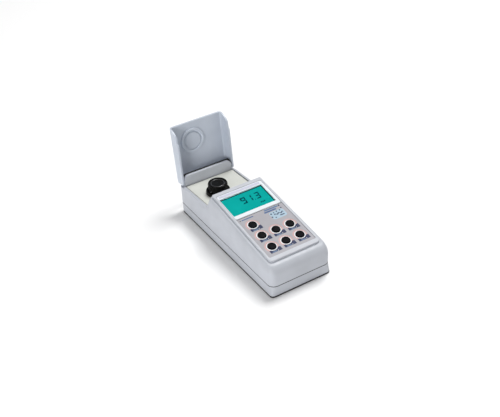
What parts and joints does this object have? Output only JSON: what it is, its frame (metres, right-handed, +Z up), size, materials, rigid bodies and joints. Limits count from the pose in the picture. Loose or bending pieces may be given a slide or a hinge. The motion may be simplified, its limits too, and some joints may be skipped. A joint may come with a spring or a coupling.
{
  "type": "digital water tester",
  "caption": "Handheld optical water tester: sloping keypad and backlit display, hinged lid over a sample well, capped glass cuvette inside.",
  "frame": {"origin": "bottom centre of the instrument's bounding box with its lid standing open, level with the undersides of the four rubber feet", "axes": "+X across the case to the user's right, +Y from the user's end towards the lid hinge, +Z up"},
  "size_m": [0.0844, 0.2374, 0.1183],
  "materials": {
    "case_plastic": "fine moulded texture, pale cool grey",
    "deck_plastic": "smooth warm off-white",
    "lid_plastic": "fine moulded texture, pale blue-grey",
    "bezel_plastic": "satin near-white printed film",
    "overlay_film": "satin silver-grey printed film",
    "key_rubber": "black silicone, low sheen",
    "window_clear": "clear acrylic",
    "lcd_glass": "backlit teal liquid crystal display",
    "diffuser_white": "milky white",
    "moulded_black": "black moulded plastic",
    "seal_rubber": "dull black",
    "board_green": "green solder mask",
    "chip_black": "black epoxy",
    "steel": "plain plated steel",
    "cell_jacket": "plain blue jacket",
    "lens_dark": "dark infrared-pass epoxy",
    "vial_glass": "clear borosilicate glass",
    "lead_red": "red insulation",
    "lead_black": "black insulation",
    "lead_grey": "grey insulation"
  },
  "bodies": {
    "root": {"lower_case": "case_plastic", "upper_case": "case_plastic", "deck_plate": "deck_plastic", "display_bezel": "bezel_plastic", "keypad_overlay": "overlay_film", "display_window": "window_clear", "lcd_panel": "lcd_glass", "lcd_backlight": "diffuser_white", "lcd_holder": "moulded_black", "buzzer": "moulded_black", "well_collar": "moulded_black", "optical_block": "moulded_black", "well_seal": "seal_rubber", "foot_1": "seal_rubber", "foot_2": "seal_rubber", "foot_3": "seal_rubber", "foot_4": "seal_rubber", "keypad_circuit_board": "board_green", "main_circuit_board": "board_green", "detector_circuit_board": "board_green", "microcontroller": "chip_black", "key_dome_sheet": "steel", "photodetector": "steel", "board_screw_1": "steel", "board_screw_2": "steel", "hinge_pin_1": "steel", "hinge_pin_2": "steel", "battery_spring_1": "steel", "battery_spring_2": "steel", "battery_spring_3": "steel", "battery_spring_4": "steel", "battery_contact_1": "steel", "battery_contact_2": "steel", "battery_contact_3": "steel", "battery_contact_4": "steel", "battery_contact_5": "steel", "case_screw_1": "steel", "case_screw_2": "steel", "case_screw_3": "steel", "case_screw_4": "steel", "battery_1": "cell_jacket", "battery_2": "cell_jacket", "battery_3": "cell_jacket", "battery_4": "cell_jacket", "infrared_led": "lens_dark", "battery_lead_positive": "lead_red", "battery_lead_negative": "lead_black", "detector_cable": "lead_grey"},
    "key_1": {"key_1": "key_rubber"},
    "key_2": {"key_2": "key_rubber"},
    "key_3": {"key_3": "key_rubber"},
    "key_4": {"key_4": "key_rubber"},
    "key_5": {"key_5": "key_rubber"},
    "key_6": {"key_6": "key_rubber"},
    "key_7": {"key_7": "key_rubber"},
    "lid": {"lid": "lid_plastic"},
    "battery_door": {"battery_door": "case_plastic"},
    "cuvette": {"cuvette_vial": "vial_glass"},
    "cap_liner": {"cap_liner": "diffuser_white"},
    "cap": {"cuvette_cap": "moulded_black"}
  },
  "joints": [
    {"name": "lid_hinge", "type": "hinge", "parent": "root", "child": "lid", "pos_m": [0, 0.09628, 0.0465], "axis": [-1, 0, 0], "range_deg": [-92.3, 0]},
    {"name": "battery_door_hinge", "type": "hinge", "parent": "root", "child": "battery_door", "pos_m": [0, -0.02042, 0.0014], "axis": [1, 0, 0], "range_deg": [0, 100]},
    {"name": "cuvette_lift", "type": "slide", "parent": "root", "child": "cuvette", "axis": [0, 0, 1], "range_m": [0, 0.06]},
    {"name": "cap_rise", "type": "slide", "parent": "cuvette", "child": "cap_liner", "axis": [0, 0, 1], "range_m": [0, 0.0038]},
    {"name": "cap_turn", "type": "hinge", "parent": "cap_liner", "child": "cap", "pos_m": [-0.0086, 0.05378, 0.052], "axis": [0, 0, 1], "range_deg": [0, 540]},
    {"name": "key_1_press", "type": "slide", "parent": "root", "child": "key_1", "axis": [0, 0.1658, -0.9862], "range_m": [0, 0.0008], "stiffness_N_per_m": 400, "springref_m": -0.002},
    {"name": "key_2_press", "type": "slide", "parent": "root", "child": "key_2", "axis": [0, 0.1658, -0.9862], "range_m": [0, 0.0008], "stiffness_N_per_m": 400, "springref_m": -0.002},
    {"name": "key_3_press", "type": "slide", "parent": "root", "child": "key_3", "axis": [0, 0.1658, -0.9862], "range_m": [0, 0.0008], "stiffness_N_per_m": 400, "springref_m": -0.002},
    {"name": "key_4_press", "type": "slide", "parent": "root", "child": "key_4", "axis": [0, 0.1658, -0.9862], "range_m": [0, 0.0008], "stiffness_N_per_m": 400, "springref_m": -0.002},
    {"name": "key_5_press", "type": "slide", "parent": "root", "child": "key_5", "axis": [0, 0.1658, -0.9862], "range_m": [0, 0.0008], "stiffness_N_per_m": 400, "springref_m": -0.002},
    {"name": "key_6_press", "type": "slide", "parent": "root", "child": "key_6", "axis": [0, 0.1658, -0.9862], "range_m": [0, 0.0008], "stiffness_N_per_m": 400, "springref_m": -0.002},
    {"name": "key_7_press", "type": "slide", "parent": "root", "child": "key_7", "axis": [0, 0.1658, -0.9862], "range_m": [0, 0.0008], "stiffness_N_per_m": 400, "springref_m": -0.002}
  ],
  "couplings": [
    {"joint": "cap_rise", "follows": "cap_turn", "m_per_rad": 0.00039789}
  ]
}
